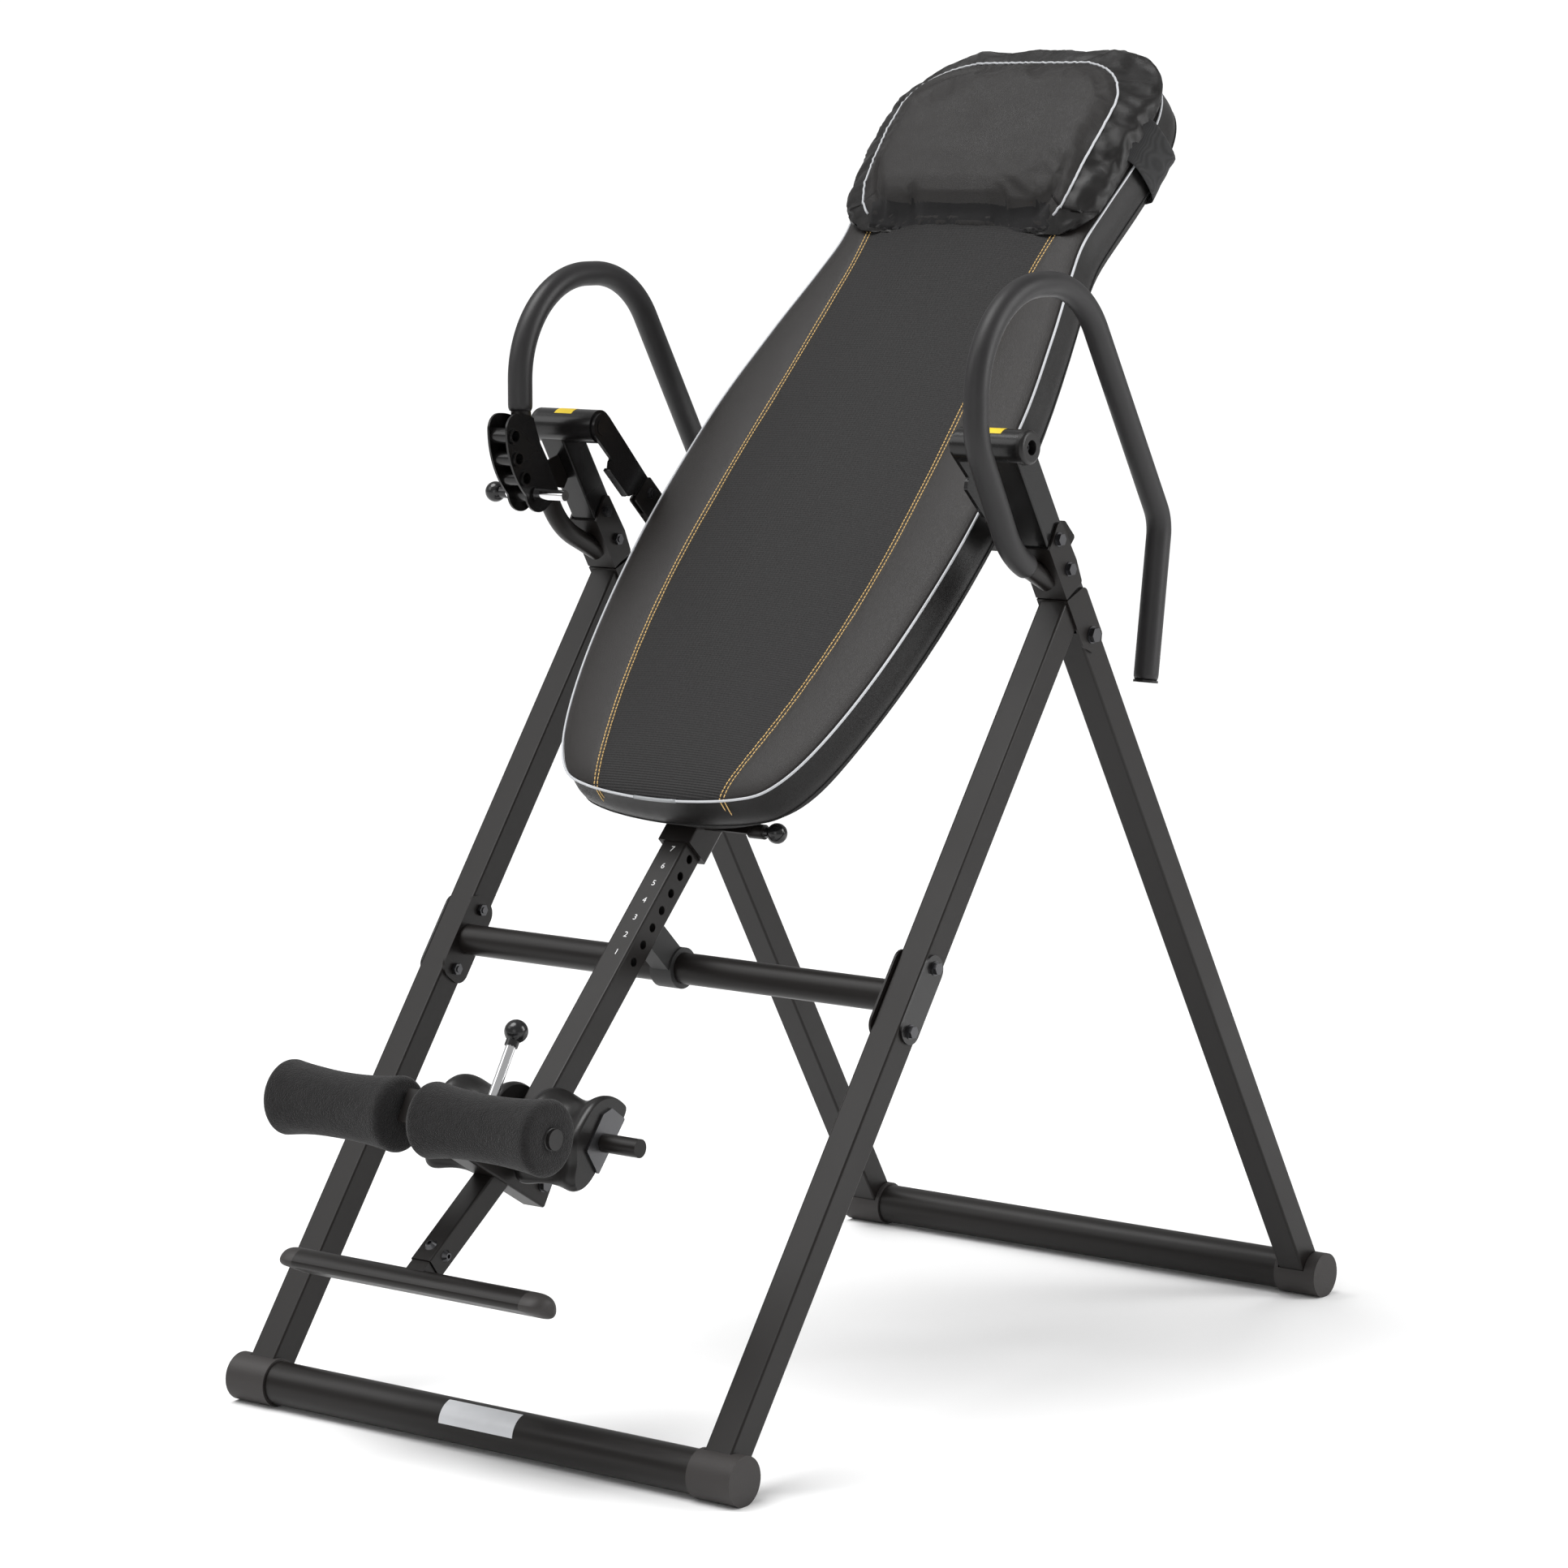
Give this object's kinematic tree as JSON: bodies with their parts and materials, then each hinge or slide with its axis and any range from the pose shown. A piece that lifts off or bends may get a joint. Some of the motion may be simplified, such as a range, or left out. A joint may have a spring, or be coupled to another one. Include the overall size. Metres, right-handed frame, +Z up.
{
  "type": "inversion table",
  "caption": "Folding steel stand with a padded tilting bed on side pivots, curved side handles, a tilt stop, and an ankle holder with foam rollers on a telescoping leg.",
  "frame": {"origin": "on the floor, midway between the side frames and straight below the bed's pivot axis", "axes": "+Z up; the foot end points to -Y and the head end to +Y; X is the width, with left (-X) and right (+X) as seen from the foot end"},
  "size_m": [0.794, 1.415, 1.6376],
  "materials": {
    "black_steel": "semi-matt powder coat",
    "gloss_black_steel": "gloss powder coat",
    "black_zinc": "black zinc fasteners",
    "grey_steel": "satin",
    "chrome": "polished plating",
    "cap_rubber": "soft matt",
    "black_plastic": "satin moulded",
    "knob_plastic": "gloss",
    "foam": "matt foam",
    "vinyl": "grained synthetic leather",
    "board": "painted board",
    "elastic": "woven elastic"
  },
  "bodies": {
    "front_stand": {"front_floor_tube": "black_steel", "front_foot_caps": "cap_rubber", "front_leg_left": "black_steel", "front_leg_right": "black_steel", "crossbar": "black_steel", "crossbar_outer_plates": "gloss_black_steel", "crossbar_bolts": "black_zinc", "crossbar_bumper": "black_plastic", "upright_left": "gloss_black_steel", "upright_right": "gloss_black_steel", "upright_bolts": "black_zinc", "hinge_bolts": "black_zinc", "handle_left": "black_steel", "handle_right": "black_steel", "handle_grip_left": "foam", "handle_grip_right": "foam", "handle_plugs": "black_plastic", "pivot_bushes": "black_plastic", "housing_caps": "black_plastic", "tilt_plates": "black_steel", "tilt_gusset": "black_steel"},
    "rear_stand": {"rear_floor_tube": "black_steel", "rear_foot_caps": "cap_rubber", "rear_leg_left": "black_steel", "rear_leg_right": "black_steel"},
    "tilt_stop": {"tilt_pin": "chrome", "tilt_pin_knob": "knob_plastic"},
    "bed": {"pivot_arm_left": "gloss_black_steel", "pivot_arm_right": "gloss_black_steel", "pivot_screws": "black_zinc", "arm_bolts": "black_zinc", "cross_member": "black_steel", "spine_tube": "black_steel", "backboard": "board", "backrest_pad": "vinyl", "head_pillow": "vinyl", "pillow_strap": "elastic", "board_tabs": "black_steel", "board_screws": "black_zinc"},
    "height_lock": {"height_pin": "chrome", "height_pin_knob": "knob_plastic"},
    "leg_post": {"height_tube": "black_steel", "ankle_box": "black_steel", "ankle_stop_bolt": "black_zinc", "lower_tube": "black_steel", "footrest_bar": "black_steel", "footrest_caps": "cap_rubber", "footrest_screws": "black_zinc", "heel_rod": "black_steel", "heel_cup_left": "black_plastic", "heel_cup_right": "black_plastic", "heel_end_plates": "grey_steel"},
    "ankle_slide": {"ankle_bar": "black_steel", "roller_axle": "grey_steel", "axle_caps": "black_plastic"},
    "roller_left": {"foam_roller_left": "foam"},
    "roller_right": {"foam_roller_right": "foam"},
    "ankle_lever": {"ankle_lever": "chrome", "ankle_lever_ball": "knob_plastic"}
  },
  "joints": [
    {"name": "rear_fold", "type": "hinge", "parent": "front_stand", "child": "rear_stand", "pos_m": [0, 0.14061, 0.91268], "axis": [-1, 0, 0], "range_deg": [0, 60]},
    {"name": "bed_tilt", "type": "hinge", "parent": "front_stand", "child": "bed", "pos_m": [0, 0, 1.144], "axis": [-1, 0, 0], "range_deg": [0, 130]},
    {"name": "tilt_pin_pull", "type": "slide", "parent": "front_stand", "child": "tilt_stop", "axis": [-1, 0, 0], "range_m": [0, 0.08]},
    {"name": "height_pin_pull", "type": "slide", "parent": "bed", "child": "height_lock", "axis": [1, 0, 0], "range_m": [0, 0.012], "stiffness_N_per_m": 900, "springref_m": -0.004},
    {"name": "leg_length", "type": "slide", "parent": "bed", "child": "leg_post", "axis": [0, -0.6928, -0.7212], "range_m": [-0.1778, 0.1778]},
    {"name": "ankle_clamp", "type": "slide", "parent": "leg_post", "child": "ankle_slide", "axis": [0, -0.8572, 0.515], "range_m": [-0.055, 0.05]},
    {"name": "roller_left_spin", "type": "hinge", "parent": "ankle_slide", "child": "roller_left", "pos_m": [0, -0.66402, 0.41001], "axis": [1, 0, 0], "continuous": true},
    {"name": "roller_right_spin", "type": "hinge", "parent": "ankle_slide", "child": "roller_right", "pos_m": [0, -0.66402, 0.41001], "axis": [1, 0, 0], "continuous": true},
    {"name": "ankle_lever_pull", "type": "slide", "parent": "leg_post", "child": "ankle_lever", "axis": [0, 0.515, 0.8572], "range_m": [0, 0.012], "stiffness_N_per_m": 900, "springref_m": -0.004}
  ]
}
